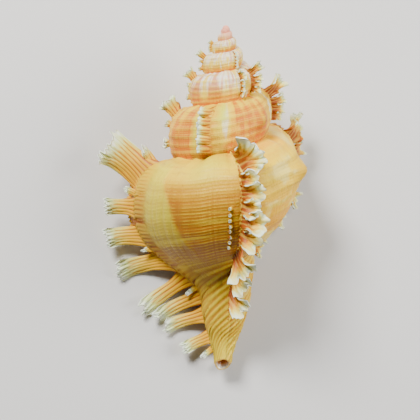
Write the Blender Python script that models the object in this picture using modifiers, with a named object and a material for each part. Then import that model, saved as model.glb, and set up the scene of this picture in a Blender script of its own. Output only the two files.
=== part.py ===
"""Murex shell, lying on the frond tips of its underside with the spire towards +Y."""

import math

import bmesh
import bpy
import numpy as np
from mathutils import Matrix

MM = 0.001

# Growth of the coil. "Back" counts degrees of coil from the outer lip towards the apex,
# and every "own" size is in mm at the lip, and smaller with the coil before it.
WHORL_RATIO = 1.62  # each whorl is this many times the one before it
WHORLS = 6.7
LIP_ANGLE = 187.0  # where round the axis the outer lip stands, 90 is the back of the shell
SUTURE_DEPTH = 33.3  # mm from the coil's point down the axis to the seam at the lip

# Outline of the last whorl at the lip, as (mm down the axis, mm from the axis)
WHORL_OUTLINE = (
    (33.3, 12.3),
    (34.4, 16.0),
    (36.9, 19.4),
    (41.0, 21.2),
    (45.0, 21.8),
    (49.5, 21.5),
    (54.0, 20.1),
    (58.0, 17.9),
    (61.5, 15.0),
    (64.6, 11.8),
    (67.5, 8.4),
    (71.0, 5.0),
    (76.0, 2.0),
    (140.0, 0.6),
)
LIP_PINCH = 4.0  # mm by which the base draws in earlier at the lip
LIP_PINCH_BACK = 125.0  # degrees over which that fades

# Siphonal canal: a tapered tube whose end bends to the back of the shell
CANAL_OUTLINE = ((20.0, 6.2), (62.0, 6.2), (68.0, 5.5), (73.0, 4.4), (77.0, 3.1), (80.0, 2.2), (81.8, 1.8))
CANAL_TIP_DEPTH = 81.8
CANAL_BEND_DEPTH = 56.0
CANAL_BEND_BACKWARDS = 6.0
CANAL_BEND_SIDEWAYS = -0.7
CANAL_BORE = 1.0
CANAL_SLIT = 0.9
CANAL_SLIT_ANGLE = 250.0

# Aperture: an oval mouth that leads back into the last whorl
MOUTH_RADIUS, MOUTH_DEPTH = 12.4, 47.6
MOUTH_HALF_WIDTH, MOUTH_HALF_HEIGHT = 5.6, 10.4
MOUTH_LEAN = 0.18
MOUTH_REACH_BACK = 165.0

# Fronds of a frilled ridge, each as (depth of the root, half width of the root and of the tip,
# length, angle below the horizontal), all at the ridge's own size
LIP_FRONDS = (
    (37.1, 3.4, 4.3, 8.5, -44.0),
    (45.1, 1.9, 2.1, 5.2, -2.0),
    (51.9, 2.1, 2.6, 6.4, 7.0),
    (57.8, 2.1, 2.6, 9.1, 17.0),
    (61.7, 1.5, 2.3, 8.5, 32.0),
    (66.3, 1.5, 2.1, 9.0, 24.0),
    (71.2, 1.5, 2.1, 8.3, 19.0),
    (76.2, 1.4, 1.7, 6.1, 26.0),
)
BACK_FRONDS = (
    (36.0, 3.0, 4.4, 10.0, -43.0),
    (40.4, 1.3, 2.0, 5.2, -6.0),
    (43.8, 1.4, 2.2, 5.6, 2.0),
    (47.2, 1.4, 1.9, 6.6, 3.0),
    (50.8, 1.5, 2.2, 6.4, 10.0),
    (54.8, 1.7, 2.3, 6.2, 14.0),
    (60.4, 2.3, 4.0, 7.6, 58.0),
    (67.2, 2.0, 2.5, 8.6, 38.0),
    (73.2, 2.0, 2.8, 8.8, 41.0),
)
FAR_FRONDS = (
    (40.3, 2.5, 3.0, 8.6, -36.0),
    (45.2, 1.5, 1.8, 8.8, -10.0),
    (50.8, 1.7, 2.2, 8.4, 12.0),
    (56.3, 1.8, 2.2, 10.5, 34.0),
    (61.6, 1.8, 2.3, 11.0, 36.0),
    (67.1, 1.8, 2.3, 10.0, 32.0),
    (72.8, 1.8, 2.1, 7.0, 32.0),
)
SPIRE_FRONDS = (
    (39.6, 2.4, 3.0, 5.4, -42.0),
    (44.8, 1.4, 1.6, 3.6, -8.0),
    (49.6, 1.3, 1.5, 3.0, 4.0),
)
SCALES = tuple((depth, 1.3, 1.6, 3.0, -4.0) for depth in (36.0, 39.8, 43.4, 47.2, 50.8))

# The ridges: degrees back from the lip, fronds, length against the list's, and how far the fronds
# lean away from the mouth at the root and at the tip, in degrees
VARICES = (
    (0, LIP_FRONDS, 1.0, 0.0, 28.0),
    (112, BACK_FRONDS, 1.0, 30.0, 100.0),
    (214, FAR_FRONDS, 1.0, 10.0, 60.0),
    (336, SPIRE_FRONDS, 1.0, 10.0, 45.0),
    (440, SCALES, 1.0, -10.0, 10.0),
    (560, SPIRE_FRONDS, 1.8, 0.0, 40.0),
    (700, SPIRE_FRONDS, 0.9, 0.0, 40.0),
    (872, SPIRE_FRONDS, 1.9, 10.0, 60.0),
    (970, SCALES, 1.2, 0.0, 20.0),
    (1087, SPIRE_FRONDS, 1.5, 0.0, 30.0),
    (1207, SCALES, 1.2, 0.0, 20.0),
    (1327, SCALES, 1.2, 0.0, 20.0),
    (1447, SPIRE_FRONDS, 1.2, 0.0, 20.0),
)
COVERED_BACK = 300  # further back than this, the next whorl covers the foot of a ridge
RIDGE_END = 74.5  # mm down the axis where the older ridges of the last whorl end
VARIX_SWELL, VARIX_SWELL_DEGREES = 1.2, 12.0
WEB_HEIGHT = 1.4
ROOT_SINK = 2.0  # mm that a ridge goes into the whorl it stands on
FROND_THICKNESS, THINNEST = 1.1, 0.8
GUTTER_DEPTH = 0.6  # how far a frond's sides turn towards the mouth, against its half width

# Blunt knobs between the ridges: degrees back, height
KNOBS = ((168, 2.6), (392, 1.0), (505, 1.2), (700, 1.0))
KNOB_DEPTH, KNOB_LENGTH, KNOB_DEGREES = 43.0, 4.6, 12.0

# How the shell lies: rolled about its axis and pitched, then lowered onto its worn tips
REST_ROLL = -7.8
REST_PITCH = 17.3
WORN_FLAT = 0.12

SKIN_STEP = 0.45
TRIANGLES = 9400
SHELL_COLOUR = (0.76, 0.43, 0.16, 1.0)


def smooth(value, low, high):
    """0 below low, 1 above high, and an S between them."""
    t = np.clip((np.asarray(value, float) - low) / (high - low), 0, 1)
    return t * t * (3 - 2 * t)


def bump(value, width):
    return np.exp(-((np.asarray(value, float) / width) ** 2))


def along(outline, depth):
    """An outline read at some depths, as a smooth curve through its points."""
    xs, ys = np.array(outline, float).T
    slopes = np.gradient(ys, xs)
    depth = np.clip(np.asarray(depth, float), xs[0], xs[-1])
    i = np.clip(np.searchsorted(xs, depth, side="right") - 1, 0, len(xs) - 2)
    span = xs[i + 1] - xs[i]
    t = (depth - xs[i]) / span
    start = (2 * t**3 - 3 * t**2 + 1) * ys[i] + (t**3 - 2 * t**2 + t) * span * slopes[i]
    end = (3 * t**2 - 2 * t**3) * ys[i + 1] + (t**3 - t**2) * span * slopes[i + 1]
    return start + end


def size_at(back):
    """Size of the shell some degrees back from the lip, against its size at the lip."""
    return WHORL_RATIO ** (-np.asarray(back, float) / 360)


def surface_radius(back, depth):
    """Distance of the outer surface from the axis. The whorl is the one that shows at that depth."""
    turns_up = np.log(SUTURE_DEPTH / np.maximum(depth, 1e-3)) / math.log(WHORL_RATIO) - back / 360
    back = back + 360 * np.maximum(np.ceil(turns_up), 0)
    size = size_at(back)
    own = depth / size
    pinch = LIP_PINCH * (1 - smooth(back, 0, LIP_PINCH_BACK)) * smooth(own, 46, 62)
    radius = along(WHORL_OUTLINE, own + pinch)
    shown = smooth(own, SUTURE_DEPTH, 38) * (1 - smooth(own, 56, 66))
    for varix in VARICES:
        radius = radius + VARIX_SWELL * bump(back - varix[0], VARIX_SWELL_DEGREES) * shown
    for knob_back, height in KNOBS:
        radius = radius + height * bump(back - knob_back, KNOB_DEGREES) * bump(own - KNOB_DEPTH, KNOB_LENGTH)
    canal = along(CANAL_OUTLINE, depth)
    blend = 1.6
    joined = np.logaddexp(radius * size / blend, canal / blend) * blend
    joined = joined - blend * 0.69 * bump(radius * size - canal, 2 * blend)
    return np.where(depth > 30, joined, radius * size)


def axis_shift(depth):
    """The canal's middle line, as mm sideways and mm to the back of the shell."""
    bend = np.maximum(np.asarray(depth, float) - CANAL_BEND_DEPTH, 0) / (CANAL_TIP_DEPTH - CANAL_BEND_DEPTH)
    return CANAL_BEND_SIDEWAYS * bend**2, CANAL_BEND_BACKWARDS * bend**2


def point(radius, angle, depth, forward=0.0):
    """A point from its place round the axis. forward is mm along the growth, towards the mouth."""
    a = np.radians(angle)
    side, rear = axis_shift(depth)
    x = side + radius * np.cos(a) - forward * np.sin(a)
    z = rear + radius * np.sin(a) + forward * np.cos(a)
    return np.stack(np.broadcast_arrays(x, -np.asarray(depth, float), z), axis=-1)


def mesh_object(name, points, faces):
    mesh = bpy.data.meshes.new(name)
    mesh.from_pydata((np.asarray(points).reshape(-1, 3) * MM).tolist(), [], faces)
    made = bpy.data.objects.new(name, mesh)
    bpy.context.scene.collection.objects.link(made)
    return made


def grid_faces(rows, columns, closed):
    """Faces of a grid of points whose rows are open or closed on themselves."""
    faces = []
    for row in range(rows - 1):
        for column in range(columns if closed else columns - 1):
            after = (column + 1) % columns
            low, high = row * columns, (row + 1) * columns
            faces.append((low + column, low + after, high + after, high + column))
    return faces


def loft(name, rings):
    """A closed solid through rings of points, with a flat cap at each end."""
    rings = np.asarray(rings)
    rows, columns = rings.shape[:2]
    faces = grid_faces(rows, columns, closed=True)
    faces.append(tuple(range(columns)))
    faces.append(tuple((rows - 1) * columns + c for c in range(columns)))
    made = mesh_object(name, rings, faces)
    work = bmesh.new()
    work.from_mesh(made.data)
    bmesh.ops.recalc_face_normals(work, faces=work.faces)
    work.to_mesh(made.data)
    work.free()
    return made


def make_whorls():
    """The coiled body, the spire and the canal as one solid without its mouth or fronds."""
    top = float(SUTURE_DEPTH * size_at(360 * WHORLS))
    body_from = 14.0
    spire = np.geomspace(top, body_from, 90, endpoint=False)
    depths = np.concatenate([spire, np.linspace(body_from, CANAL_TIP_DEPTH, 120)])
    back = np.linspace(0, 360, 150, endpoint=False)
    rings = [point(surface_radius(back, d), LIP_ANGLE - back, np.full_like(back, d)) for d in depths]
    apex = point(0.3, LIP_ANGLE - back, np.full_like(back, top - 0.35))
    return loft("whorls", [apex, *rings])


def make_mouth_cutter():
    """The hollow behind the oval mouth."""
    around = np.radians(np.arange(0, 360, 12))
    rings = []
    for back in np.linspace(-12, MOUTH_REACH_BACK, 20):
        coil = size_at(max(back, 0))
        size = coil * (1 - 0.25 * smooth(back, 90, MOUTH_REACH_BACK + 40))
        rise = MOUTH_HALF_HEIGHT * np.sin(around)
        out = MOUTH_HALF_WIDTH * np.cos(around) + MOUTH_LEAN * rise
        rings.append(point(coil * MOUTH_RADIUS + size * out, LIP_ANGLE - back, coil * MOUTH_DEPTH - size * rise))
    return loft("mouth_cutter", rings)


def make_canal_cutter():
    """The round bore of the canal with the narrow slit along its underside."""
    turn = np.radians(np.linspace(30, 330, 16))
    slit_reach = 14.0
    out = np.concatenate([CANAL_BORE * np.cos(turn), [slit_reach, slit_reach]])
    across = np.concatenate([CANAL_BORE * np.sin(turn), [-CANAL_SLIT / 2, CANAL_SLIT / 2]])
    a = math.radians(CANAL_SLIT_ANGLE)
    rings = []
    for depth in np.linspace(52, CANAL_TIP_DEPTH + 3, 16):
        side, rear = axis_shift(min(depth, CANAL_TIP_DEPTH))
        x = side + out * math.cos(a) - across * math.sin(a)
        z = rear + out * math.sin(a) + across * math.cos(a)
        rings.append(np.stack([x, np.full_like(x, -depth), z], axis=-1))
    return loft("canal_cutter", rings)


def varix_root(back, depth):
    """Distance from the axis of the surface that a ridge stands on."""
    if back <= COVERED_BACK:
        return float(surface_radius(np.array(back + 0.3), np.array(depth)))
    size = float(size_at(back))
    return (float(along(WHORL_OUTLINE, depth / size)) + VARIX_SWELL) * size


def varix_rows(fronds, last_depth):
    """Rows down a ridge, as (depth of the root, the frond or None for the web, place across the frond)."""
    first = SUTURE_DEPTH + 1.3
    rows = [(first, None, 0.0)]
    end = first
    for frond in fronds:
        depth, half, droop = frond[0], frond[1], math.radians(frond[4])
        spread = half * max(math.cos(droop), 0.6)
        if depth - spread - end > 0.5:
            rows.append(((depth - spread + end) / 2, None, 0.0))
        rows += [(depth + spread * across, frond, across) for across in np.linspace(-1, 1, 6)]
        end = depth + spread
    rows.append((last_depth, None, 0.0))
    return rows


def frond_place(root, middle, length, droop, lean_root, lean_tip, rise, across, belly):
    """A place on a frond as (mm from the axis, mm down, mm forward).

    rise runs from 0 at the root to 1 at the tip, across is mm from the frond's middle line and
    belly is mm out of its face towards the mouth.
    """
    first, turn = math.radians(lean_root), math.radians(lean_tip - lean_root)
    lean, fall = first + turn * rise, math.radians(droop)
    out = length * (np.sin(lean) - math.sin(first)) / turn
    back = length * (math.cos(first) - np.cos(lean)) / turn
    radius = root + out * math.cos(fall) - across * math.sin(fall) * np.cos(lean) + belly * np.sin(lean)
    down = middle + length * rise * math.sin(fall) + across * math.cos(fall)
    forward = -back * math.cos(fall) + across * math.sin(fall) * np.sin(lean) + belly * np.cos(lean)
    return radius, down, forward


def make_varix(number, back, fronds, share, lean_root, lean_tip):
    """A frilled ridge: a low web with fronds, each a shallow gutter open towards the mouth."""
    size = float(size_at(back))
    up = np.array([-0.25, 0.0, 0.25, 0.5, 0.75, 1.0])
    rise = np.clip(up, 0, 1)
    free = smooth(rise, 0.0, 0.35)
    sunk = np.minimum(up, 0) * ROOT_SINK * 4 * size
    last_depth = RIDGE_END if back else CANAL_TIP_DEPTH - 1.5
    if back > COVERED_BACK:
        last_depth = (SUTURE_DEPTH * WHORL_RATIO - 1.5) * size
    points = []
    for own_depth, frond, place in varix_rows(fronds, last_depth / size):
        depth = min(own_depth * size, last_depth)
        root = varix_root(back, depth)
        if frond is None:
            radius, down, forward = root + rise * WEB_HEIGHT * size, depth + 0 * up, 0 * up
        else:
            middle, half, tip_half, length, _ = (v * size for v in frond)
            across = place * (half + (tip_half - half) * rise)
            belly = GUTTER_DEPTH * half * place**2 * smooth(rise, 0.05, 0.6)
            radius, down, forward = frond_place(
                varix_root(back, middle), middle, length * share, frond[4], lean_root, lean_tip, rise, across, belly
            )
            radius = root + (radius - root) * free
            down = depth + (down - depth) * free
        points.append(point(radius + sunk, LIP_ANGLE - back, down, forward))
    sheet = mesh_object(f"varix_{number}", points, grid_faces(len(points), len(up), closed=False))
    thicken = sheet.modifiers.new("thickness", "SOLIDIFY")
    thicken.thickness = max(FROND_THICKNESS * size**0.5, THINNEST) * MM
    thicken.offset = 0
    return sheet


def finished(made):
    """The object with its modifiers applied."""
    bpy.context.view_layer.update()
    mesh = bpy.data.meshes.new_from_object(made.evaluated_get(bpy.context.evaluated_depsgraph_get()))
    made.modifiers.clear()
    made.data = mesh
    return made


def cut(made, cutter):
    step = made.modifiers.new(cutter.name, "BOOLEAN")
    step.operation = "DIFFERENCE"
    step.solver = "EXACT"
    step.object = cutter
    finished(made)
    bpy.data.objects.remove(cutter)


def join(name, pieces):
    """One object, in a collection of its own, with the meshes of all the pieces."""
    work = bmesh.new()
    for piece in pieces:
        work.from_mesh(piece.data)
        bpy.data.objects.remove(piece)
    mesh = bpy.data.meshes.new(name)
    work.to_mesh(mesh)
    work.free()
    made = bpy.data.objects.new(name, mesh)
    home = bpy.data.collections.new(name)
    bpy.context.scene.collection.children.link(home)
    home.objects.link(made)
    return made


def shell_material():
    material = bpy.data.materials.new("murex_shell")
    material.use_nodes = True
    finish = material.node_tree.nodes["Principled BSDF"]
    finish.inputs["Base Color"].default_value = SHELL_COLOUR
    finish.inputs["Roughness"].default_value = 0.45
    finish.inputs["Metallic"].default_value = 0.0
    return material


def make_shell():
    whorls = make_whorls()
    cut(whorls, make_mouth_cutter())
    cut(whorls, make_canal_cutter())
    ridges = [finished(make_varix(i, *varix)) for i, varix in enumerate(VARICES)]
    shell = join("murex_shell", [whorls, *ridges])
    skin = shell.modifiers.new("grown_together", "REMESH")
    skin.mode = "VOXEL"
    skin.voxel_size = SKIN_STEP * MM
    finished(shell)
    facets = shell.modifiers.new("facets", "DECIMATE")
    facets.ratio = TRIANGLES / sum(len(face.vertices) - 2 for face in shell.data.polygons)
    finished(shell)
    shell.data.materials.clear()
    shell.data.materials.append(shell_material())
    return shell


def lay_down(shell):
    """Lays the shell on its underside and wears flat the tips that it stands on."""
    pitch = Matrix.Rotation(math.radians(REST_PITCH), 4, "X")
    roll = Matrix.Rotation(math.radians(REST_ROLL), 4, "Y")
    shell.data.transform(pitch @ roll)
    spots = np.array([v.co for v in shell.data.vertices])
    low, high = spots.min(axis=0), spots.max(axis=0)
    middle = (low + high) / 2
    shell.data.transform(Matrix.Translation((-middle[0], -middle[1], -low[2] - WORN_FLAT * MM)))
    work = bmesh.new()
    work.from_mesh(shell.data)
    everything = [*work.verts, *work.edges, *work.faces]
    worn = bmesh.ops.bisect_plane(work, geom=everything, plane_no=(0, 0, 1), clear_inner=True)
    rims = [part for part in worn["geom_cut"] if isinstance(part, bmesh.types.BMEdge)]
    bmesh.ops.edgenet_fill(work, edges=rims)
    bmesh.ops.recalc_face_normals(work, faces=work.faces)
    work.to_mesh(shell.data)
    work.free()


for leftover in list(bpy.data.objects):
    bpy.data.objects.remove(leftover)
lay_down(make_shell())
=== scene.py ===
import math

import bpy
import numpy as np
from mathutils import Matrix, Vector


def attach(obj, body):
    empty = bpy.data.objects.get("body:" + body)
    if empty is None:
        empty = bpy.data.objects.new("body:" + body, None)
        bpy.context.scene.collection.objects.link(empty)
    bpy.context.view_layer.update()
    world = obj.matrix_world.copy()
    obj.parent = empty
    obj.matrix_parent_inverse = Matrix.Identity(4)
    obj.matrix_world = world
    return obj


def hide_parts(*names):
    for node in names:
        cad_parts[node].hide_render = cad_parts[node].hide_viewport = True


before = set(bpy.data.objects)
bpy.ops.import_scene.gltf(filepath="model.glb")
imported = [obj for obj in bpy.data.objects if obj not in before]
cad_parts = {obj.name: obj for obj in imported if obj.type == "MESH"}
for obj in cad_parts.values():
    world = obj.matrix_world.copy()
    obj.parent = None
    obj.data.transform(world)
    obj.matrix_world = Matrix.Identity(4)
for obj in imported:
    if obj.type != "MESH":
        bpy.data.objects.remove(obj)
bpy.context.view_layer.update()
mm = 0.001

# The coil: its growth, the seam between whorls and the outline of a whorl as (mm down, mm out) at the lip.
coil = {
    "ratio": 1.62,
    "degrees": 2412.0,
    "lipAngle": 187.0,
    "seam": 33.3,
    "outline": (
        (33.3, 12.3), (34.4, 16.0), (36.9, 19.4), (41.0, 21.2), (45.0, 21.8), (49.5, 21.5), (54.0, 20.1),
        (58.0, 17.9), (61.5, 15.0), (64.6, 11.8), (67.5, 8.4), (71.0, 5.0), (76.0, 2.0), (140.0, 0.6),
    ),
    "pinch": 4.0,
    "pinchBack": 125.0,
}
canal = {
    "outline": (
        (20.0, 6.2), (62.0, 6.2), (68.0, 5.5), (73.0, 4.4), (77.0, 3.1), (80.0, 2.4), (81.8, 2.05), (84.0, 1.75),
    ),
    "startsBelow": 30.0,
    "blend": 1.6,
    "tip": 83.4,
    "bendFrom": 56.0,
    "bendLength": 25.8,
    "bendBackwards": 6.0,
    "bendSideways": -0.7,
    "bore": 1.3,
    "slant": 3.0,
    "slantOver": 14.0,
    "wallLeft": 0.3,
}
lipFurrow = {"back": 20.0, "degrees": 14.0, "deep": 1.4}  # the furrow that lets the lip flare outwards
# How the shell lies: tilts in degrees, and in mm the place of the coil's point and the height spines are worn to.
rest = {"roll": -7.8, "pitch": 17.3, "point": (4.253, 40.557, 24.206), "wornTo": 0.02}

# Fronds: depth of the root, half width of root and tip, length, droop in degrees, all at the ridge's size.
lipFronds = (
    (34.6, 0.9, 1.1, 3.8, -60.0), (37.4, 3.0, 4.7, 9.9, -41.0), (41.4, 0.6, 0.8, 2.8, -18.0),
    (45.1, 1.6, 2.1, 6.8, -3.0), (51.9, 1.8, 2.5, 8.1, 7.0), (54.9, 0.5, 0.5, 2.2, 10.0),
    (57.8, 1.8, 2.6, 10.7, 18.0), (61.9, 1.4, 2.3, 11.6, 34.0), (64.2, 0.4, 0.5, 2.2, 30.0),
    (66.3, 1.4, 2.0, 10.8, 26.0), (71.2, 1.4, 2.1, 9.3, 20.0), (76.8, 1.3, 1.8, 6.4, 27.0),
    (79.8, 0.6, 0.8, 2.4, 42.0),
)
backFronds = (
    (35.8, 2.9, 5.1, 9.5, -33.0), (38.9, 1.5, 2.5, 5.4, -14.0), (42.2, 1.6, 2.9, 7.6, -6.0),
    (45.7, 1.6, 2.8, 6.7, 0.0), (49.4, 1.7, 3.3, 8.6, 4.0), (53.8, 1.7, 3.0, 7.0, 14.0),
    (60.4, 2.2, 4.2, 7.8, 52.0), (67.0, 1.9, 3.1, 8.6, 42.0), (73.0, 1.8, 3.1, 8.8, 44.0),
)
farFronds = (
    (39.8, 2.7, 4.0, 8.4, -38.0), (44.8, 1.9, 2.9, 7.8, -12.0), (50.4, 1.9, 2.9, 7.8, 12.0),
    (56.0, 1.9, 2.8, 9.8, 34.0), (61.6, 1.9, 2.7, 10.4, 36.0), (67.1, 1.9, 2.7, 9.8, 32.0),
    (72.8, 1.8, 2.4, 7.0, 32.0),
)
spireFronds = (
    (37.8, 2.4, 4.0, 6.4, -42.0), (42.0, 1.6, 2.6, 5.0, -14.0), (45.4, 1.6, 2.4, 4.6, -2.0),
    (49.0, 1.6, 2.4, 4.0, 8.0),
)
leftFronds = ((37.4, 2.2, 3.6, 6.6, -44.0), (41.6, 1.0, 1.4, 3.4, -14.0), (48.4, 1.2, 1.8, 3.4, 6.0))
scaleFronds = tuple((depth, 1.6, 2.1, 5.0, -4.0) for depth in (35.8, 39.4, 43.0, 46.6, 50.2))
# How a frond is shaped: how far it rolls into a gutter, its cords, teeth, crinkled rim and widened root.
frondShapes = {
    "banded": {
        "arc": 0.55, "cordEvery": 0.64, "cord": 0.11, "tooth": 1.5, "crinkle": 0.05, "waves": 3, "spread": 0.7,
        "scoop": 0.0, "thick": 0.40, "edge": 0.16, "apron": 18.0,
    },
    "ruffled": {
        "arc": 1.25, "cordEvery": 1.10, "cord": 0.06, "tooth": 0.85, "crinkle": 0.29, "waves": 5, "spread": 0.25,
        "scoop": 0.85, "thick": 0.46, "edge": 0.24, "apron": 0.0,
    },
    "fan": {
        "arc": 0.75, "cordEvery": 1.10, "cord": 0.07, "tooth": 0.95, "crinkle": 0.22, "waves": 6, "spread": 0.2,
        "scoop": 0.75, "thick": 0.46, "edge": 0.26, "apron": 0.0,
    },
    "draped": {
        "arc": 0.70, "cordEvery": 0.85, "cord": 0.10, "tooth": 1.2, "crinkle": 0.22, "waves": 4, "spread": 0.3,
        "scoop": 0.25, "thick": 0.46, "edge": 0.24, "apron": 0.0,
    },
    "frilled": {
        "arc": 1.0, "cordEvery": 1.20, "cord": 0.06, "tooth": 0.9, "crinkle": 0.26, "waves": 6, "spread": 0.3,
        "scoop": 0.0, "thick": 0.55, "edge": 0.32, "apron": 0.0,
    },
    "scaly": {
        "arc": 1.05, "cordEvery": 1.10, "cord": 0.08, "tooth": 0.7, "crinkle": 0.14, "waves": 3, "spread": 0.30,
        "scoop": 0.0, "thick": 0.50, "edge": 0.34, "apron": 0.0,
    },
}
# The ridges: degrees back from the lip, fronds, share of their length, lean at root and tip, shape of a frond.
ridges = (
    (0, lipFronds, 1.2, -50.0, 34.0, "banded"), (107, backFronds, 0.87, 32.0, 100.0, "ruffled"),
    (214, farFronds, 1.0, 10.0, 60.0, "frilled"), (336, leftFronds, 1.0, 10.0, 45.0, "frilled"),
    (440, scaleFronds, 1.15, -45.0, -80.0, "scaly"), (560, spireFronds, 1.7, 0.0, 40.0, "frilled"),
    (700, leftFronds, 1.0, 0.0, 40.0, "frilled"), (872, spireFronds, 1.8, 10.0, 60.0, "frilled"),
    (846, spireFronds, 0.75, 0.0, 50.0, "frilled"),
    (970, scaleFronds, 0.9, -20.0, -60.0, "scaly"), (1087, leftFronds, 1.5, 0.0, 30.0, "frilled"),
    (1207, scaleFronds, 0.9, 0.0, 20.0, "scaly"), (1327, scaleFronds, 0.9, 0.0, 20.0, "scaly"),
    (1447, spireFronds, 1.2, 0.0, 20.0, "scaly"),
)
ridge = {
    "swell": 1.2, "swellDegrees": 12.0, "web": 1.4, "webShare": {0: 0.6, 107: 0.3}, "webCordEvery": 0.98,
    "end": 71.5, "lipEnd": 80.8, "coveredBack": 300, "lipRoots": 9.0,
}
knobs = ((168, 2.6), (392, 1.0), (505, 1.8), (708, 1.4))  # degrees back, mm high
knob = {"down": 43.0, "length": 4.6, "degrees": 12.0, "peak": 0.4, "peakLength": 1.8, "peakDegrees": 5.0}
# Low folds across the whorls of the spire.
folds = {"from": 380, "full": 440, "high": 0.55, "middle": 505, "perTurn": 6, "down": 42, "length": 5}
# Relief in mm at the lip's size: wide and fine cords, the canal's ribs and closed slit, and wrinkles.
cords = {
    "wideEvery": 3.45, "wideHigh": 0.26, "lowerOnLast": 0.18, "higherBehind": 0.16,
    "fineEvery": 0.86, "fineHigh": 0.065, "lowerOnNewest": 0.025, "higherByLip": 0.16,
    "canalEvery": 2.1, "canalHigh": 0.20, "newestRaised": 0.22, "beads": 0.5,
    "wrinkleHigh": 0.05, "unevenHigh": 0.12, "wander": 0.35, "wanderDegrees": 13,
    "slitBack": 297, "slitDegrees": 5, "slitDeep": 0.9,
}


def smooth(value, low, high):
    t = np.clip((np.asarray(value, float) - low) / (high - low), 0, 1)
    return t * t * (3 - 2 * t)


def bump(value, width):
    return np.exp(-((np.asarray(value, float) / width) ** 2))


# An outline read at some depths, as a smooth curve through its points.
def along(outline, depth):
    xs, ys = np.array(outline, float).T
    slopes = np.gradient(ys, xs)
    depth = np.clip(np.asarray(depth, float), xs[0], xs[-1])
    i = np.clip(np.searchsorted(xs, depth, side="right") - 1, 0, len(xs) - 2)
    span = xs[i + 1] - xs[i]
    t = (depth - xs[i]) / span
    start = (2 * t**3 - 3 * t**2 + 1) * ys[i] + (t**3 - 2 * t**2 + t) * span * slopes[i]
    end = (3 * t**2 - 2 * t**3) * ys[i + 1] + (t**3 - t**2) * span * slopes[i + 1]
    return start + end


# Smooth random values along a line, the same on each run.
def wander(value, period, seed):
    knots = np.random.default_rng(seed).uniform(-1, 1, 4096)
    place = np.asarray(value, float) / period + 64
    i = np.floor(place).astype(int)
    t = place - i
    t = t * t * (3 - 2 * t)
    return knots[i % 4096] * (1 - t) + knots[(i + 1) % 4096] * t


def sizeAt(back):
    return coil["ratio"] ** (-np.asarray(back, float) / 360)


# The shell's skin without its fine relief, as mm from the axis.
def skinRadius(back, own):
    back, own = np.broadcast_arrays(np.asarray(back, float), np.asarray(own, float))
    size = sizeAt(back)
    pinch = coil["pinch"] * (1 - smooth(back, 0, coil["pinchBack"])) * smooth(own, 46, 62)
    radius = along(coil["outline"], own + pinch)
    shown = smooth(own, coil["seam"], 38) * (1 - smooth(own, 56, 66))
    for entry in ridges:
        radius = radius + ridge["swell"] * bump(back - entry[0], ridge["swellDegrees"]) * shown
    for knobBack, height in knobs:
        base = bump(back - knobBack, knob["degrees"]) * bump(own - knob["down"], knob["length"])
        radius = radius + height * base
        peak = bump(back - knobBack, knob["peakDegrees"]) * bump(own - knob["down"], knob["peakLength"])
        radius = radius + knob["peak"] * height * peak
    radius = radius - lipFurrow["deep"] * bump(back - lipFurrow["back"], lipFurrow["degrees"]) * shown
    waves = np.cos(np.radians(back - folds["middle"]) * folds["perTurn"]) ** 3
    radius = radius + smooth(back, folds["from"], folds["full"]) * folds["high"] * waves * bump(
        own - folds["down"], folds["length"]
    )
    radius = radius * size
    depth = own * size
    tube = along(canal["outline"], depth)
    blend = canal["blend"]
    # The whorl and the canal blended into each other, less most of what this adds where they meet.
    joined = np.logaddexp(radius / blend, tube / blend) * blend - blend * 0.69 * bump(radius - tube, 2 * blend)
    return np.where((back <= 360) & (depth > canal["startsBelow"]), joined, radius)


newPart = {"back": 52, "slant": 1.1, "level": 41, "uneven": 1.5, "unevenEvery": 2.2}


# Degrees back from the lip of the line where the newest part of the shell begins, slanting down the whorl.
def growthLine(own):
    slanting = newPart["slant"] * (np.asarray(own, float) - newPart["level"])
    return newPart["back"] + slanting + newPart["uneven"] * wander(own, newPart["unevenEvery"], 8)


# Where a cord lies across the whorl: the cords wander a little, but run straight on the canal.
def cordWave(back, own):
    return own + cords["wander"] * wander(back, cords["wanderDegrees"], 3) * (1 - 0.85 * smooth(own, 57, 64))


# Cords that run with the coil and wrinkles that cross them, as mm, and 0 to 1 on the crest of a cord.
def relief(back, own):
    back, own = np.broadcast_arrays(np.asarray(back, float), np.asarray(own, float))
    size = sizeAt(back)
    onLast = 1 - smooth(back, 330, 400)
    newest = 1 - smooth(back - growthLine(own), -0.6, 0.6)
    wave = cordWave(back, own)
    wide = (0.5 + 0.5 * np.cos(2 * math.pi * wave / cords["wideEvery"])) ** 1.5
    fine = 0.5 + 0.5 * np.cos(2 * math.pi * wave / cords["fineEvery"] + 0.9 * wander(own, 2.5, 4))
    rib = 0.5 + 0.5 * np.cos(2 * math.pi * wave / cords["canalEvery"])
    canalPart = smooth(own, 60, 66) * onLast
    behind = smooth(back, 118, 130) * onLast
    height = wide * (cords["wideHigh"] - onLast * cords["lowerOnLast"] + behind * cords["higherBehind"])
    height = height + fine * (cords["fineHigh"] - cords["lowerOnNewest"] * newest * onLast)
    height = height + cords["higherByLip"] * fine * (1 - smooth(back, 8, 26))
    height = height * (1 - 0.4 * newest * onLast * smooth(back, 12, 30))
    height = height + canalPart * cords["canalHigh"] * (1 - 0.7 * smooth(own * size, 76, 81)) * rib
    height = height + cords["newestRaised"] * newest * onLast * (1 - smooth(own, 56, 62)) * smooth(back, 10, 45)
    beads = 1 + cords["beads"] * wander(back / size**0.4, 1.7, 9)
    height = height * beads + cords["wrinkleHigh"] * wander(back / size**0.3, 1.3, 5)
    height = height + cords["unevenHigh"] * wander(back, 7.0, 6)
    shown = smooth(own, coil["seam"] - 0.5, coil["seam"] + 2.0)
    crest = np.clip((0.65 * fine**3 + 0.5 * wide * (1 - 0.7 * onLast)) * beads, 0, 1)
    crest = crest * (1 - canalPart) + canalPart * rib
    slit = cords["slitDeep"] * bump(back - cords["slitBack"], cords["slitDegrees"]) * onLast
    slit = slit * smooth(own * size, 62, 68) * (1 - smooth(own * size, 76, 80))
    return (height * shown - slit / size) * size, crest


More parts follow.
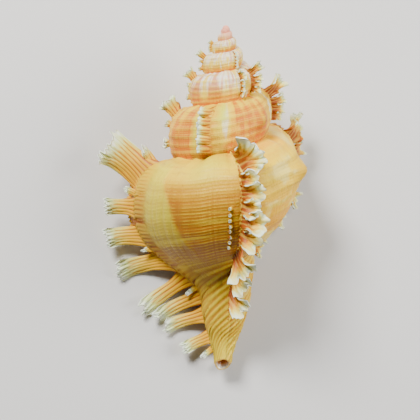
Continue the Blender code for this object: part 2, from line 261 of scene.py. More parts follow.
# The seam wanders up and down, because each whorl is laid unevenly on the one before, as mm.
def seamShift(back, own):
    return (0.40 * wander(back, 17, 11) + 0.28 * wander(back, 6, 12)) * (1 - smooth(own, 34, 40))


# The open end of the canal is cut slantwise, higher on the side away from the mouth, as mm.
def endSlant(angle, depth):
    return -canal["slant"] * (0.5 + 0.5 * np.sin(np.radians(angle))) * smooth(
        depth, canal["tip"] - canal["slantOver"], canal["tip"]
    )


def axisShift(depth):
    bend = np.maximum(np.asarray(depth, float) - canal["bendFrom"], 0) / canal["bendLength"]
    return canal["bendSideways"] * bend**2, canal["bendBackwards"] * bend**2


def point(radius, angle, depth, forward=0.0):
    a = np.radians(angle)
    side, rear = axisShift(depth)
    x = side + radius * np.cos(a) - forward * np.sin(a)
    z = rear + radius * np.sin(a) + forward * np.cos(a)
    return np.stack(np.broadcast_arrays(x, -np.asarray(depth, float), z), axis=-1)


toFrame = (
    Matrix.Translation(Vector(rest["point"]) * mm)
    @ Matrix.Rotation(math.radians(rest["pitch"]), 4, "X")
    @ Matrix.Rotation(math.radians(rest["roll"]), 4, "Y")
)


# Quads of a grid of points, numbered from first.
def gridFaces(rows, columns, first=0):
    r, c = np.meshgrid(np.arange(rows - 1), np.arange(columns - 1), indexing="ij")
    corner = r * columns + c
    return np.stack([corner, corner + 1, corner + columns + 1, corner + columns], -1).reshape(-1, 4) + first


valueNames = ("own", "back", "crest", "rise", "brown", "cream")


# Gathers grids of points, with the values that the materials read at each point, into one mesh.
class Builder:
    def __init__(self, name):
        self.name = name
        self.points, self.faces, self.looks = [], [], []
        self.values = {key: [] for key in valueNames}
        self.count = 0

    def grid(self, points, look, flip=False, **values):
        rows, columns = points.shape[:2]
        faces = gridFaces(rows, columns, self.count)
        self.faces.append(faces[:, ::-1] if flip else faces)
        self.looks.append(np.full(len(faces), look))
        self.points.append(points.reshape(-1, 3))
        for key, found in self.values.items():
            found.append(np.broadcast_to(np.asarray(values.get(key, 0.0), float), (rows, columns)).reshape(-1))
        self.count += rows * columns

    # A thin sheet with two faces and a rim along both sides and the far end. thick is half its thickness.
    def sheet(self, points, thick, front, rear, **values):
        normal = np.cross(np.gradient(points, axis=0), np.gradient(points, axis=1))
        normal /= np.maximum(np.linalg.norm(normal, axis=-1, keepdims=True), 1e-9)
        rows, columns = points.shape[:2]
        start, half = self.count, rows * columns
        self.grid(points + normal * thick[..., None], front, **values)
        self.grid(points - normal * thick[..., None], rear, flip=True, **values)
        index = start + np.arange(half).reshape(rows, columns)
        rim = np.concatenate([index[0, :], index[1:, -1], index[-1, -2::-1]])
        faces = np.stack([rim[:-1], rim[:-1] + half, rim[1:] + half, rim[1:]], -1)[:, ::-1]
        self.faces.append(faces)
        self.looks.append(np.full(len(faces), rear))

    def make(self, materials):
        mesh = bpy.data.meshes.new(self.name)
        faces = np.concatenate(self.faces)
        mesh.from_pydata((np.concatenate(self.points) * mm).tolist(), [], faces.tolist())
        mesh.polygons.foreach_set("material_index", np.concatenate(self.looks).astype(np.int32))
        for key, found in self.values.items():
            mesh.attributes.new(key, "FLOAT", "POINT").data.foreach_set("value", np.concatenate(found))
        mesh.transform(toFrame)
        for vertex in mesh.vertices:  # spines that carry the shell are worn flat
            vertex.co.z = max(vertex.co.z, rest["wornTo"] * mm)
        mesh.shade_smooth()
        for material in materials:
            mesh.materials.append(material)
        made = bpy.data.objects.new(self.name, mesh)
        bpy.context.scene.collection.objects.link(made)
        return made


def linear(hexColour):
    parts = [int(hexColour[i:i + 2], 16) / 255 for i in (1, 3, 5)]
    return tuple(p / 12.92 if p <= 0.04045 else ((p + 0.055) / 1.055) ** 2.4 for p in parts) + (1.0,)


# Adds a node. inputs go by name or number and are a number, a hex colour or another node's output.
def addNode(tree, kind, inputs=None, stops=None, output=0, **settings):
    made = tree.nodes.new(kind)
    for key, value in settings.items():
        setattr(made, key, value)
    if stops:
        ramp = made.color_ramp.elements
        while len(ramp) < len(stops):
            ramp.new(1.0)
        for element, (place, colour) in zip(ramp, stops):
            element.position = place
            element.color = linear(colour)
    for key, value in (inputs or {}).items():
        if isinstance(value, bpy.types.NodeSocket):
            tree.links.new(value, made.inputs[key])
        else:
            made.inputs[key].default_value = linear(value) if isinstance(value, str) else value
    return made.outputs[output]


def newMaterial(name):
    material = bpy.data.materials.new(name)
    material.use_nodes = True
    return material, material.node_tree, material.node_tree.nodes["Principled BSDF"]


def readValues(tree, *names):
    return [addNode(tree, "ShaderNodeAttribute", attribute_name=name, output=2) for name in names]


def calculate(tree, operation, first, second=0.0, clamp=True):
    return addNode(tree, "ShaderNodeMath", {0: first, 1: second}, operation=operation, use_clamp=clamp)


def mixColour(tree, share, first, second, blend="MIX"):
    inputs = {0: share, 6: first, 7: second}
    return addNode(tree, "ShaderNodeMix", inputs, output=2, data_type="RGBA", blend_type=blend)


def eased(tree, value, low, high, toLow=0.0, toHigh=1.0):
    inputs = {0: value, 1: low, 2: high, 3: toLow, 4: toHigh}
    return addNode(tree, "ShaderNodeMapRange", inputs, interpolation_type="SMOOTHSTEP")


def colourRamp(tree, place, *stops):
    return addNode(tree, "ShaderNodeValToRGB", {0: place}, stops)


# Noise laid along the coil: patterns per whorl mm across it and per degree along it.
def coilNoise(tree, own, back, perOwn, perDegree, detail=3.0):
    x = calculate(tree, "MULTIPLY", back, perDegree, False)
    y = calculate(tree, "MULTIPLY", own, perOwn, False)
    place = addNode(tree, "ShaderNodeCombineXYZ", {0: x, 1: y})
    return addNode(tree, "ShaderNodeTexNoise", {"Vector": place, "Scale": 1.0, "Detail": detail})


rampSpan = {"last": 60.0, "older": 20.6}  # mm of a whorl that its colours are spread over, from the seam down


# The shell's outside: golden yellow above to brown below on the last whorl, orange flames on white higher up. The
# brown below is partly the shell's own colour and partly painted shade of light falling from above.
def outsideColour(tree, own, back, crest, brown, cream):
    across = calculate(tree, "DIVIDE", calculate(tree, "SUBTRACT", own, coil["seam"], False), rampSpan["last"])
    upper = calculate(tree, "MULTIPLY", across, rampSpan["last"] / rampSpan["older"])
    # Last whorl: the dark middle and lower stops are partly its own brown and partly painted shade from the light
    # above.
    last = colourRamp(
        tree, across, (0.0, "#FFD40A"), (0.05, "#FCD008"), (0.10, "#E8AC06"), (0.16, "#C68806"),
        (0.24, "#A26806"), (0.32, "#A86A08"), (0.42, "#B87008"), (0.50, "#B88010"), (0.62, "#CC980C"),
        (1.0, "#F8C624"),
    )
    right = colourRamp(
        tree, across, (0.0, "#FFBA0A"), (0.08, "#FFD40A"), (0.20, "#FFCA0A"), (0.34, "#FAB00A"), (0.50, "#E8980A"),
        (1.0, "#FBB90A"),
    )
    older = colourRamp(
        tree, upper, (0.0, "#FFD810"), (0.14, "#FFC800"), (0.30, "#F8B000"), (0.48, "#FFC400"), (0.62, "#EC9600"),
        (0.72, "#FFBC04"), (0.83, "#DC8404"), (0.91, "#AC5804"), (1.0, "#843A04"),
    )
    spire = colourRamp(
        tree, upper, (0.0, "#FEF8EC"), (0.38, "#FFF2D8"), (0.56, "#FFE070"), (0.74, "#FFB404"), (0.88, "#F08A04"),
        (1.0, "#DF6D0A"),
    )
    flames = coilNoise(tree, own, back, 0.03, 0.060, 2.0)  # 17 degrees apart, about 3 mm on the older whorl
    bands = coilNoise(tree, own, back, 0.50, 0.010, 4.0)  # 2 mm across the whorl
    clouds = coilNoise(tree, own, back, 0.16, 0.050, 3.0)  # 6 to 7 mm across on the last whorl
    colour = mixColour(tree, eased(tree, back, 108, 128), last, right)
    colour = mixColour(tree, eased(tree, back, 300, 345), colour, older)
    colour = mixColour(tree, eased(tree, back, 590, 690), colour, spire)
    patchy = calculate(tree, "MULTIPLY", eased(tree, clouds, 0.52, 0.62, 0.0, 0.75), eased(tree, back, 105, 130))
    colour = mixColour(tree, calculate(tree, "MULTIPLY", patchy, eased(tree, back, 330, 290)), colour, "#FFE880")
    flame = calculate(tree, "MULTIPLY", eased(tree, flames, 0.49, 0.60, 0.0, 0.9), eased(tree, back, 290, 420))
    flame = calculate(tree, "MULTIPLY", flame, eased(tree, back, 620, 1000, 1.0, 0.6))
    colour = mixColour(tree, flame, colour, "#DE6C06")
    yellow = calculate(tree, "MULTIPLY", eased(tree, flames, 0.48, 0.40, 0.0, 0.85), eased(tree, upper, 0.92, 0.7))
    yellow = calculate(tree, "MULTIPLY", yellow, eased(tree, back, 290, 500))
    colour = mixColour(tree, yellow, colour, "#FFD430")
    pale = calculate(tree, "MULTIPLY", eased(tree, flames, 0.38, 0.31, 0.0, 0.9), eased(tree, back, 290, 500))
    colour = mixColour(tree, pale, colour, "#FEF4D8")
    colour = mixColour(tree, eased(tree, bands, 0.52, 0.68, 0.0, 0.5), colour, "#B46A04")
    colour = mixColour(tree, eased(tree, bands, 0.47, 0.33, 0.0, 0.45), colour, "#FFDF22")
    colour = mixColour(tree, eased(tree, crest, 0.25, 0.8, 0.0, 0.40), colour, "#FFE034")
    brownShare = calculate(tree, "MULTIPLY", brown, eased(tree, bands, 0.2, 0.6, 1.0, 0.75))
    colour = mixColour(tree, brownShare, colour, "#8A3A08")
    creamShare = calculate(tree, "MULTIPLY", cream, eased(tree, bands, 0.2, 0.7, 1.0, 0.7))
    colour = mixColour(tree, creamShare, colour, "#DCE03A")
    return mixColour(tree, eased(tree, back, 1700, 2050), colour, "#FFA988")


# Aragonite has a refractive index of about 1.6. Its growth lines make the gloss uneven, so the surface is satin.
aragonite = {"ior": 1.6, "specular": 0.25, "bumpDistance": 0.0003, "coat": 0.5, "coatRoughness": 0.12}


def finishShell(tree, shader, colour, roughness, height, strength):
    inputs = {"Height": height, "Strength": strength, "Distance": aragonite["bumpDistance"]}
    tree.links.new(addNode(tree, "ShaderNodeBump", inputs), shader.inputs["Normal"])
    tree.links.new(colour, shader.inputs["Base Color"])
    tree.links.new(roughness, shader.inputs["Roughness"])
    shader.inputs["IOR"].default_value = aragonite["ior"]
    shader.inputs["Specular IOR Level"].default_value = aragonite["specular"]


# The outside of the whorls is satin, with growth lines as fine brown streaks across the cords.
def whorlMaterial():
    material, tree, shader = newMaterial("aragonite, corded outside of the whorls")
    own, back, crest, brown, cream = readValues(tree, "own", "back", "crest", "brown", "cream")
    colour = outsideColour(tree, own, back, crest, brown, cream)
    growth = coilNoise(tree, own, back, 0.7, 1.1, 5.0)  # growth lines, 0.3 mm apart on the last whorl
    colour = mixColour(tree, eased(tree, growth, 0.56, 0.75, 0.0, 0.35), colour, "#A05808")
    finishShell(tree, shader, colour, eased(tree, growth, 0.3, 0.7, 0.36, 0.56), growth, 0.5)
    return material


# Fronds are the whorl's colour at the root and run out to a chalky, slightly green white at the edge.
def frondMaterial(name, hollow):
    material, tree, shader = newMaterial(name)
    own, back, crest, rise, brown, cream = readValues(tree, *valueNames)
    root = outsideColour(tree, own, back, crest, brown, cream)
    fibres = coilNoise(tree, calculate(tree, "MULTIPLY", rise, 6.0, False), own, 1.0, 4.0, 4.0)
    uneven = calculate(tree, "MULTIPLY", calculate(tree, "SUBTRACT", fibres, 0.5, False), 0.35, False)
    height = calculate(tree, "ADD", rise, uneven)
    if hollow:
        # On the hollow face the brown runs far out from the root. It is partly the frond's own colour and partly
        # painted shade of the deep gutter.
        colour = colourRamp(
            tree, height, (0.0, "#883A06"), (0.36, "#A04A04"), (0.52, "#C67206"), (0.66, "#E8A810"),
            (0.77, "#F2DC60"), (0.88, "#EEF4B4"), (1.0, "#F8FFE4"),
        )
        colour = mixColour(tree, eased(tree, rise, 0.0, 0.14), root, colour)
        colour = mixColour(tree, eased(tree, crest, 0.4, 0.9, 0.0, 0.35), colour, "#FFDB50")
    else:
        groove = colourRamp(
            tree, height, (0.0, "#A04A06"), (0.28, "#BE6006"), (0.52, "#C87808"), (0.72, "#D8A230"),
            (0.87, "#E0F0A0"), (1.0, "#F6FFE6"),
        )
        cord = colourRamp(
            tree, height, (0.0, "#E8A806"), (0.34, "#EEB410"), (0.58, "#EECA3C"), (0.78, "#E8EE94"),
            (0.94, "#F8FFEC"),
        )
        colour = mixColour(tree, eased(tree, crest, 0.2, 0.8), groove, cord)
        colour = mixColour(tree, eased(tree, rise, 0.0, 0.16), root, colour)
    finishShell(tree, shader, colour, eased(tree, fibres, 0.3, 0.7, 0.42, 0.62), fibres, 0.4)
    return material


# Inside the mouth the shell is glazed smooth: porcelain white at the rim, apricot deeper in.
def mouthMaterial():
    material, tree, shader = newMaterial("aragonite, glazed inside of the mouth")
    own, rise = readValues(tree, "own", "rise")
    clouds = coilNoise(tree, own, calculate(tree, "MULTIPLY", rise, 40.0, False), 0.3, 0.2, 3.0)
    colour = colourRamp(
        tree, rise, (0.0, "#DF680A"), (0.22, "#FBAA4D"), (0.42, "#FEE9D3"), (0.58, "#FFF6E6"), (0.76, "#FFE393"),
        (1.0, "#F8B90A"),
    )
    colour = mixColour(tree, eased(tree, clouds, 0.45, 0.7, 0.0, 0.35), colour, "#FFCC7A")
    finishShell(tree, shader, colour, eased(tree, clouds, 0.3, 0.7, 0.16, 0.3), clouds, 0.15)
    shader.inputs["Coat Weight"].default_value = aragonite["coat"]
    shader.inputs["Coat Roughness"].default_value = aragonite["coatRoughness"]
    return material


materials = [
    whorlMaterial(),
    frondMaterial("aragonite, corded back of the fronds", False),
    frondMaterial("aragonite, hollow face of the fronds", True),
    mouthMaterial(),
]
whorlLook, corded, hollowed, glazed = range(4)
print("materials made")


# Browner and creamier spots: strength, degrees back, spread in degrees, mm across the whorl, spread in mm.
spots = {
    "brown": ((0.6, 436, 6, 44, 10), (0.5, 505, 10, 43, 4), (0.45, 168, 9, 43, 4.5), (0.4, 708, 14, 43, 6)),
    "cream": ((0.9, 455, 5, 36, 4), (0.35, 80, 14, 36, 4)),
    "besideRidge": 0.45,
    "betweenFronds": 0.95,
    "canalGrooves": 0.5,
    "canalCrests": 0.4,
    "newest": 0.6,
}


# Where the shell is browner or creamier than its bands: by the lip, at the ridges and in single streaks.
def tints(back, own):
    back, own = np.broadcast_arrays(np.asarray(back, float), np.asarray(own, float))
    onBody = smooth(own, 33, 35) * (1 - smooth(own, 60, 68))
    newest = (1 - smooth(back - growthLine(own), -2, 2)) * (back < 100) * onBody * (1 - 0.8 * smooth(own, 50, 57))
    between = np.clip(1 - sum(bump(own - frond[0], 1.25 * frond[1]) for frond in lipFronds if frond[1] > 1), 0, 1)
    brown = spots["betweenFronds"] * bump(back - 19, 16) * smooth(own, 44, 49) * between
    brown = brown * (1 - 0.5 * smooth(own, 66, 72))
    groove = 0.5 - 0.5 * np.cos(2 * math.pi * cordWave(back, own) / cords["canalEvery"])
    onCanal = smooth(own, 60, 66) * (back < 340)
    atEnd = smooth(own * sizeAt(back), 75, 81) * (back < 360)
    brown = brown + spots["canalGrooves"] * groove * onCanal * (1 - 0.8 * atEnd)
    brown = brown + 0.25 * bump(back - 10, 12) * onBody
    brown = brown + 0.45 * bump(back - growthLine(own) - 4, 5) * bump(own - 44, 3.5)
    brown = brown + 0.5 * bump(back - 118, 7) * (back > 112) * smooth(own, 35, 40)
    cream = spots["newest"] * newest * smooth(back, 14, 30) * (0.6 + 0.4 * bump(own - 42, 8))
    cream = cream + 0.7 * bump(back - 421, 4) * (1 - 0.6 * smooth(own, 48, 52))
    cream = cream + spots["canalCrests"] * (1 - groove) * onCanal * (0.6 + 0.4 * wander(back, 31, 21))
    cream = cream + 0.25 * atEnd
    for strength, backAt, degrees, ownAt, spread in spots["brown"]:
        brown = brown + strength * bump(back - backAt, degrees) * bump(own - ownAt, spread)
    for strength, backAt, degrees, ownAt, spread in spots["cream"]:
        cream = cream + strength * bump(back - backAt, degrees) * bump(own - ownAt, spread)
    for entry in ridges[4:]:
        cream = cream + spots["besideRidge"] * bump(back - entry[0] - 9, 6)
    return {"brown": np.clip(brown, 0, 1), "cream": np.clip(cream, 0, 1)}


# Adds rows of skin at the given places on the coil.
def addSkin(builder, back, own):
    height, crest = relief(back, own)
    size = sizeAt(back)
    angle = coil["lipAngle"] - back
    depth = own * size
    depth = depth + seamShift(back, own) * size + endSlant(angle, depth)
    points = point(skinRadius(back, own) + height, angle, depth)
    builder.grid(points, whorlLook, own=own, back=back, crest=crest, **tints(back, own))


# Rows and columns of the skin's grids, and the mm down the whorl where they start and end.
skinRows = {
    "aboveSeam": 0.4, "bodyEnd": 66.0, "body": 170, "canal": 80, "columns": 360,
    "wallFrom": 58.0, "wallRows": 60, "spireColumns": 280, "spireRows": 104, "fewerPerTurn": 0.78,
    "underNext": 2.2,
}
apex = {"reach": 20.5, "from": 1.0, "deep": 0.75}  # the rounded first whorl, 1.6 mm across


def addLastWhorl(builder):
    back = np.linspace(0, 360, skinRows["columns"] + 1)[None, :]
    bodyEnd = skinRows["bodyEnd"]
    body = np.linspace(coil["seam"] - skinRows["aboveSeam"], bodyEnd, skinRows["body"])[:, None] + 0 * back
    steps = np.linspace(0, 1, skinRows["canal"] + 1)[1:, None]
    lower = bodyEnd + steps * (canal["tip"] / sizeAt(back) - bodyEnd)
    own = np.concatenate([body, lower])
    addSkin(builder, back + 0 * own, own)
    # Below the mouth the first and the last column of skin meet.
    depth = np.linspace(skinRows["wallFrom"], canal["tip"], skinRows["wallRows"])[:, None]
    share = np.linspace(0, 1, 4)[None, :]
    radius = skinRadius(0.0, depth) * (1 - share) + skinRadius(360.0, depth / sizeAt(360.0)) * share
    slanted = depth + endSlant(coil["lipAngle"], depth) + 0 * share
    builder.grid(point(radius, coil["lipAngle"] - 0.2, slanted), whorlLook, own=depth, back=5.0, crest=0.4)


def addSpire(builder):
    for whorl in range(1, 7):
        share = skinRows["fewerPerTurn"] ** (whorl - 1)
        first, end = 360 * whorl, min(360 * (whorl + 1), coil["degrees"])
        columns = int(skinRows["spireColumns"] * share * (end - first) / 360) + 2
        back = np.linspace(first, end, columns)[None, :]
        lowest = coil["seam"] * coil["ratio"] + skinRows["underNext"]
        rows = int(skinRows["spireRows"] * share) + 8
        own = np.linspace(coil["seam"] - skinRows["aboveSeam"], lowest, rows)[:, None]
        addSkin(builder, back + 0 * own, own + 0 * back)
    turn = np.radians(np.linspace(0, 360, 33))[None, :]
    fall = np.radians(np.linspace(2, 150, 16))[:, None]
    wide = apex["reach"] * float(sizeAt(coil["degrees"]))
    x, z = wide * np.sin(fall) * np.cos(turn), wide * np.sin(fall) * np.sin(turn)
    y = -(apex["from"] + apex["deep"] * (1 - np.cos(fall))) + 0 * turn
    builder.grid(np.stack([x, y, z], -1), whorlLook, flip=True, own=40.0, back=2300.0, crest=0.5)


# The mouth's oval in mm at the lip, how many degrees back its hollow goes, and its ribs and rolled rim.
mouth = {
    "out": 12.4, "down": 47.6, "halfWidth": 5.6, "halfHeight": 10.4, "lean": 0.18, "reach": 165.0,
    "ribs": 30, "ribHigh": 0.22, "beadHigh": 1.0, "beadFrom": 0.9, "lowest": 67.0, "narrows": 0.25, "rolled": 0.35,
}


# The mouth: a raised rim round the oval, the ribbed inner side of the lip, and the hollow going back.
def addMouth(builder):
    turn = np.radians(np.linspace(0, 360, 145))[None, :]
    up, across = np.sin(turn), np.cos(turn)
    ringOut = mouth["halfWidth"] * across + mouth["lean"] * mouth["halfHeight"] * up
    ringDown = -mouth["halfHeight"] * up
    reach = np.linspace(0, 30, 500)[:, None]
    away = np.stack([ringOut, ringDown]) / np.hypot(ringOut, ringDown)
    out = mouth["out"] + ringOut + away[0] * reach
    down = mouth["down"] + ringDown + away[1] * reach
    # Each ray of the rim stops where it would leave the lip or the whorl beside it.
    inside = (out < skinRadius(0.0, down) + 0.3) & (out > skinRadius(359.9, down / sizeAt(359.9)) - 0.8)
    inside &= (down > coil["seam"] - 0.2) & (down < mouth["lowest"])
    limit = np.where(inside.all(axis=0), reach[-1, 0], reach[np.argmin(inside, axis=0), 0])
    steps = np.linspace(0, 1, 30)[:, None]
    out = mouth["out"] + ringOut + away[0] * limit * steps
    down = mouth["down"] + ringDown + away[1] * limit * steps
    ribs = mouth["ribHigh"] * np.cos(mouth["ribs"] * turn) * smooth(steps, 0.1, 0.6) * smooth(across, -0.2, 0.5)
    bead = mouth["beadHigh"] * bump(steps * limit - mouth["beadFrom"], 0.9) + 0.2 * (1 - smooth(steps, 0.0, 0.5))
    builder.grid(point(out, coil["lipAngle"], down, bead + ribs + 0.05), glazed, own=down, rise=0.5 + 0.5 * steps)
    back = np.linspace(0, mouth["reach"], 50)[:, None]
    curve = sizeAt(back)
    size = curve * (1 - mouth["narrows"] * smooth(back, 90, mouth["reach"] + 40))
    roll = mouth["rolled"] * bump(back, 3.0)
    hollow = point(
        curve * mouth["out"] + size * (ringOut + roll * across), coil["lipAngle"] - back,
        curve * mouth["down"] + size * (ringDown - roll * up), 0.2 * bump(back, 1.5),
    )
    rise = 0.5 - 0.5 * smooth(back, 0, 120)
    builder.grid(hollow, glazed, flip=True, own=curve * mouth["down"] + 0 * turn, rise=rise)


# The open end of the canal: a rolled rim round the bore, and the bore itself. steps 0 to 1 are on the rim.
canalEnd = {"notch": 0.16, "notchEvery": 40, "rolled": 0.3, "bore": 4.5, "narrows": 0.25}


def addCanalEnd(builder):
    turn = np.linspace(0, 360, 73)[None, :]
    steps = np.linspace(0, 2.4, 22)[:, None]
    onRim, within = np.clip(steps, 0, 1), np.clip(steps - 1, 0, 2)
    outside = along(canal["outline"], canal["tip"])
    notches = canalEnd["notch"] * wander(turn, canalEnd["notchEvery"], 15)
    radius = outside + 0.1 + (canal["bore"] - outside) * onRim - canalEnd["narrows"] * within
    depth = canal["tip"] + canalEnd["rolled"] * np.sin(math.pi * onRim) + notches * (1 - within / 2)
    depth = depth - canalEnd["bore"] * within
    slanted = depth + endSlant(turn, canal["tip"]) * (1 - 0.5 * within)
    # Inside the bore the glaze runs down to the lining's darkest orange. This is painted shade that darkens the
    # hole.
    rise = 0.95 - 0.95 * smooth(steps, 0.7, 1.5)
    builder.grid(point(radius + 0 * turn, turn, slanted), glazed, own=70.0, rise=rise)


# A place on a frond as mm from the axis, mm down and mm forward, towards the mouth.
def frondPlace(root, middle, length, droop, leanRoot, leanTip, rise, across, belly):
    first, turn = np.radians(leanRoot), np.radians(leanTip - leanRoot)
    lean, fall = first + turn * rise, math.radians(droop)
    out = length * (np.sin(lean) - np.sin(first)) / turn
    back = length * (np.cos(first) - np.cos(lean)) / turn
    radius = root + out * math.cos(fall) - across * math.sin(fall) * np.cos(lean) + belly * np.sin(lean)
    down = middle + length * rise * math.sin(fall) + across * math.cos(fall)
    forward = -back * math.cos(fall) + across * math.sin(fall) * np.sin(lean) + belly * np.cos(lean)
    return radius, down, forward


# How far from the axis a ridge starts: on the skin of the last whorl, and on the plain outline higher up.
def ridgeRoot(back, depth):
    if back <= ridge["coveredBack"]:
        return skinRadius(back + 0.3, depth / sizeAt(back + 0.3))
    size = sizeAt(back)
    return (along(coil["outline"], depth / size) + ridge["swell"]) * size


# How a frond starts, in mm: an apron is a foot laid on the skin, and without one the root is sunk in the shell.
apron = {"sunk": 0.48, "overBore": 0.75, "fullHalf": 1.2, "fullRadius": 20.0, "longest": 4.0}
rootSunk = 8.0


# One frond: a sheet rolled into a gutter, with cords along it, a crinkled rim and a toothed end. With an apron
# its foot lies on the skin and its cords run out of the whorl's own.
def addFrond(builder, back, size, frond, lean, shape, chance):
    depthOwn, half, tipHalf, length, droop = frond
    cordCount = max(3, round(2 * half / shape["cordEvery"]))
    fine = 1.0 if size > 0.6 else 0.7
    u = np.linspace(-1, 1, cordCount * int(8 * fine) + 1)[:, None]
    foot = np.linspace(-1, 0, 13)[:-1] if shape["apron"] else np.array([-0.22])
    rise = np.concatenate([foot, np.linspace(0, 1, int(26 * fine))])[None, :]
    t, below = np.clip(rise, 0, 1), np.clip(-rise, 0, 1)
    phase, twist, bend, side = chance.uniform(-1, 1, 4)
    cordAt = np.clip(((u + 1) / 2 * cordCount).astype(int), 0, cordCount - 1)
    tall = chance.uniform(-1, 1, cordCount)[cordAt]
    # The cords, and the crinkles that spread from the root towards the rim.
    turns = (u + 1) * cordCount + 0.5 * np.sin(math.pi * (u + 1)) * twist
    cord = 0.42 - 0.42 * np.cos(math.pi * turns) + 0.16 * np.cos(3 * math.pi * turns) ** 2
    around = np.arctan2(u, t + 0.2)
    rim = smooth(np.maximum(np.abs(u), t), 0.35, 1.0) * smooth(t, 0.05, 0.35)
    turned = shape["waves"] * around
    fold = np.sin(2 * turned + 3 * phase) + 0.4 * np.sin(5.3 * turned + 5 * twist)
    # Teeth where the cords end, and the outline from root to tip.
    tooth = shape["tooth"] * (cord**0.7 * (1 + 0.7 * tall) - 0.5 - 0.5 * u**2) / max(length, 2)
    reach = length * size * (1 + tooth * smooth(t, 0.6, 1.0))
    wide = half + (tipHalf - half) * t**1.7 + shape["spread"] * half * (1 - t) ** 4
    wide = wide * (1 + 0.10 * np.abs(u) ** 3 * t**6)
    wide = wide * (1 + 0.07 * rim * np.sin(3.1 * turned + 2 * side))
    # Rolled into a gutter that opens from the root, with the cords and the crinkles raised on it.
    opened = 0.35 + 0.65 * smooth(t, 0.0, 0.4)
    roll = u * shape["arc"] * opened
    across = wide * np.sin(roll) / math.sin(shape["arc"]) / opened**0.9 * size
    belly = wide * (1 - np.cos(roll)) / math.sin(shape["arc"]) * smooth(t, 0.03, 0.4)
    raised = smooth(1 - below, 0.25, 1.0) if shape["apron"] else smooth(t, 0.0, 0.2)
    belly = belly - shape["cord"] * 2 * cord * raised * (1 - 0.35 * t) / max(1.0, half) ** 0.3
    belly = (belly + shape["crinkle"] * wide * rim * fold + 0.25 * side * wide * u * t) * size
    # Stood on the skin, which the root follows, and leant over.
    middle = depthOwn * size
    depth = middle + u * half * (1 + shape["spread"]) * size * max(math.cos(math.radians(droop)), 0.6)
    root = ridgeRoot(back, depth)
    leanTip = lean[1] + 14 * bend * (shape["arc"] > 0.6) + 7 * tall * t**3
    radius, down, forward = frondPlace(
        ridgeRoot(back, np.array(middle)), middle, reach, droop + 4 * twist, lean[0], leanTip, t, across, belly
    )
    forward = forward + shape["scoop"] * wide * u**2 * smooth(t, 0.05, 0.9) * size
    free = smooth(t, 0.0, 0.35)
    down = depth + (down - depth) * free
    radius = root + (radius - root) * free
    if shape["apron"]:
        degrees = shape["apron"] * min(max(apron["fullRadius"] / float(np.mean(root)), 1.0), apron["longest"])
        behind = back + degrees * (min(half, apron["fullHalf"]) / apron["fullHalf"]) ** 2 * below
        laid = depth / size  # the foot's cords run with the coil
        skin = skinRadius(behind, laid)
        sunk = np.clip(skin - canal["bore"] - apron["overBore"], 0.0, apron["sunk"]) * smooth(below, 0.35, 1.0)
        lifted = skin + 2 * shape["cord"] * cord * raised - sunk
        radius = np.where(below > 0, lifted, radius + 2 * shape["cord"] * cord * (1 - free))
        forward = np.where(below > 0, 0.0, forward * smooth(t, 0.0, 0.12))
        down = np.where(below > 0, laid * sizeAt(behind), down)
        angle = coil["lipAngle"] - behind
    else:
        mostSunk = np.maximum(root - canal["bore"] - canal["wallLeft"], 0)
        radius = radius - np.minimum(-np.minimum(rise, 0) * rootSunk * size, mostSunk)
        angle = coil["lipAngle"] - back
    points = point(radius, angle, down + endSlant(angle, down), forward)
    thick = size**0.5 * (shape["thick"] + (shape["edge"] - shape["thick"]) * t) * (1 - 0.45 * u**6)
    own = depthOwn + u * half + 0 * t
    edge = np.clip(np.maximum(t, np.abs(u) ** 5 * smooth(t, 0.15, 0.5)), 0, 1)
    backNow = coil["lipAngle"] - angle + 0 * own
    values = {"own": own, "back": backNow, "crest": cord * (1 - 0.6 * below), "rise": edge}
    builder.sheet(points, thick, hollowed, corded, **values, **tints(backNow, own))


# The low crest that joins the roots of a ridge's fronds.
def addWeb(builder, back, size, lastDepth, lean):
    own = np.arange(coil["seam"] + 0.9, lastDepth / size, 0.22)[:, None]
    rise = np.array([-0.3, 0, 0.25, 0.5, 0.75, 1.0])[None, :]
    t = np.clip(rise, 0, 1)
    wave = np.cos(2 * math.pi * own / ridge["webCordEvery"])
    height = ridge["web"] * size * (1 - 0.85 * smooth(own * size, 66, 74)) * ridge["webShare"].get(back, 1.0)
    height = height * (0.75 + 0.35 * wave + 0.4 * wander(own, 2.3, int(back) + 60))
    turned = math.radians(lean)
    depth = own * size + 0 * t
    root = ridgeRoot(back, depth)
    sunk = np.minimum(-np.minimum(rise, 0) * 6 * size, np.maximum(root - canal["bore"] - canal["wallLeft"], 0))
    radius = root + t * height * math.cos(turned) - sunk
    forward = -height * t * math.sin(turned) + 0.12 * size * np.sin(2 * math.pi * own / 2.0) * t
    angle = coil["lipAngle"] - back
    points = point(radius, angle, depth + endSlant(angle, depth), forward)
    thick = size**0.5 * (0.40 - 0.2 * t) + 0 * own
    values = {"own": own, "back": back, "crest": 0.5 + 0.5 * wave, "rise": 0.6 * t}
    builder.sheet(points, thick, hollowed, corded, **values, **tints(back, own + 0 * t))


fanEnds, drapedFrom = 37, 58  # mm down the ridge on the back, which starts with a fan and ends in draped fronds


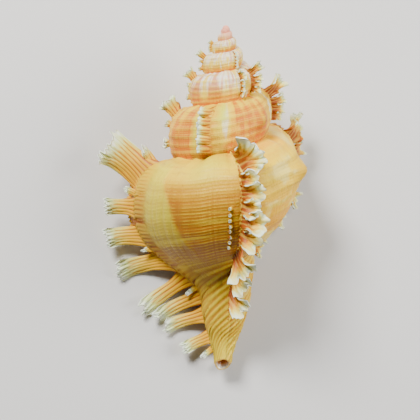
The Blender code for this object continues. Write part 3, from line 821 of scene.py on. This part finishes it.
def addRidge(builder, number, back, fronds, share, leanRoot, leanTip, shapeName):
    roots = back + (ridge["lipRoots"] if back == 0 else 0.0)
    size = float(sizeAt(back))
    shape = frondShapes[shapeName]
    chance = np.random.default_rng(40 + number)
    seamBelow = (coil["seam"] * coil["ratio"] - 1.5) * size
    lastDepth = seamBelow if back > ridge["coveredBack"] else (ridge["end"] if back else ridge["lipEnd"])
    if shapeName != "scaly":
        addWeb(builder, back, size, lastDepth, max(leanRoot, 0.0))
    for depthOwn, half, tipHalf, length, droop in fronds:
        straighter = 1 - 0.45 * float(smooth(depthOwn, 55, 60)) * (shapeName == "ruffled")
        frond = (depthOwn, half, tipHalf, length * share, droop)
        if shapeName == "ruffled":
            shape = frondShapes["fan" if depthOwn < fanEnds else "ruffled" if depthOwn < drapedFrom else "draped"]
        addFrond(builder, roots, size, frond, (leanRoot * straighter, leanTip * straighter), shape, chance)


# A row of tiny white spines on the face of the last whorl, beside the ridge on its back.
spinelets = {
    "down": (40.2, 41.9, 43.2, 44.7, 46.0, 47.6, 49.0, 50.5), "back": 99.8, "half": 0.11, "tipHalf": 0.07,
    "length": 0.6, "lean": (-10.0, -30.0),
}


def addSpinelets(builder):
    chance = np.random.default_rng(7)
    for own in spinelets["down"]:
        back = spinelets["back"] + chance.uniform(-0.5, 0.5)
        length = spinelets["length"] + chance.uniform(-0.3, 0.4)
        frond = (own, spinelets["half"], spinelets["tipHalf"], length, 0.0)
        addFrond(builder, back, 1.0, frond, spinelets["lean"], frondShapes["scaly"], chance)


def addPiece(builder):
    made = builder.make(materials)
    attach(made, "root")
    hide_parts("murex_shell")
    print(builder.name, sum(len(polygon.vertices) - 2 for polygon in made.data.polygons), "triangles")


lastWhorl = Builder("last_whorl")
addLastWhorl(lastWhorl)
addCanalEnd(lastWhorl)
addPiece(lastWhorl)
spire = Builder("spire")
addSpire(spire)
addPiece(spire)
lining = Builder("mouth_lining")
addMouth(lining)
addPiece(lining)
ridgePieces = ((0, 1, "lip_fronds"), (1, 2, "back_fronds"), (2, 3, "far_fronds"), (3, 14, "spire_fronds"))
for first, last, name in ridgePieces:
    frills = Builder(name)
    for number in range(first, last):
        addRidge(frills, number, *ridges[number])
    if name == "back_fronds":
        addSpinelets(frills)
    addPiece(frills)


# The photograph's view: the spire tipped 14 degrees towards a camera far enough off to flatten the depth.
view = {"tip": 14.0, "mmPerPixel": 0.232, "apexPixel": (226.0, 19.5), "width": 420, "away": 600.0, "depth": 5.0}


def addCamera():
    middle = view["width"] / 2
    x = (middle - view["apexPixel"][0]) * view["mmPerPixel"]
    y = (view["apexPixel"][1] - middle) * view["mmPerPixel"]
    data = bpy.data.cameras.new("camera")
    data.sensor_width = 36.0
    data.lens = data.sensor_width * view["away"] / (view["width"] * view["mmPerPixel"])
    camera = bpy.data.objects.new("camera", data)
    spot = Matrix.Translation(Vector((x, y, view["depth"] + view["away"])) * mm)
    camera.matrix_world = toFrame @ Matrix.Rotation(math.radians(-view["tip"]), 4, "X") @ spot
    bpy.context.scene.collection.objects.link(camera)
    bpy.context.scene.camera = camera


def addLight(name, place, size, power):
    data = bpy.data.lights.new(name, "AREA")
    data.shape = "DISK"
    data.size = size
    data.energy = power
    light = bpy.data.objects.new(name, data)
    light.location = place
    light.rotation_euler = (-Vector(place)).to_track_quat("-Z", "Y").to_euler()
    bpy.context.scene.collection.objects.link(light)


# Lights as name, place in m, width in m and power in W, then the world and the floor.
stage = {
    "lights": (("key", (-0.22, 0.30, 0.38), 0.18, 5.2), ("fill", (0.34, 0.06, 0.30), 0.30, 2.4)),
    "world": "#F2F4F8", "worldStrength": 0.10, "floorReach": 1.5, "floor": "#DEDCD8", "floorRoughness": 0.8,
}


# A pale matt board, on which the shadow shows where the shell lies.
def addFloor():
    mesh = bpy.data.meshes.new("floor")
    reach = stage["floorReach"]
    corners = [(-reach, -reach, 0), (reach, -reach, 0), (reach, reach, 0), (-reach, reach, 0)]
    mesh.from_pydata(corners, [], [(0, 1, 2, 3)])
    floor = bpy.data.objects.new("floor", mesh)
    bpy.context.scene.collection.objects.link(floor)
    material, _, shader = newMaterial("matt painted board")
    shader.inputs["Base Color"].default_value = linear(stage["floor"])
    shader.inputs["Roughness"].default_value = stage["floorRoughness"]
    mesh.materials.append(material)


addCamera()
for light in stage["lights"]:
    addLight(*light)
addFloor()
world = bpy.data.worlds.new("soft studio")
world.use_nodes = True
world.node_tree.nodes["Background"].inputs[0].default_value = linear(stage["world"])
world.node_tree.nodes["Background"].inputs[1].default_value = stage["worldStrength"]
bpy.context.scene.world = world
print("stage set")
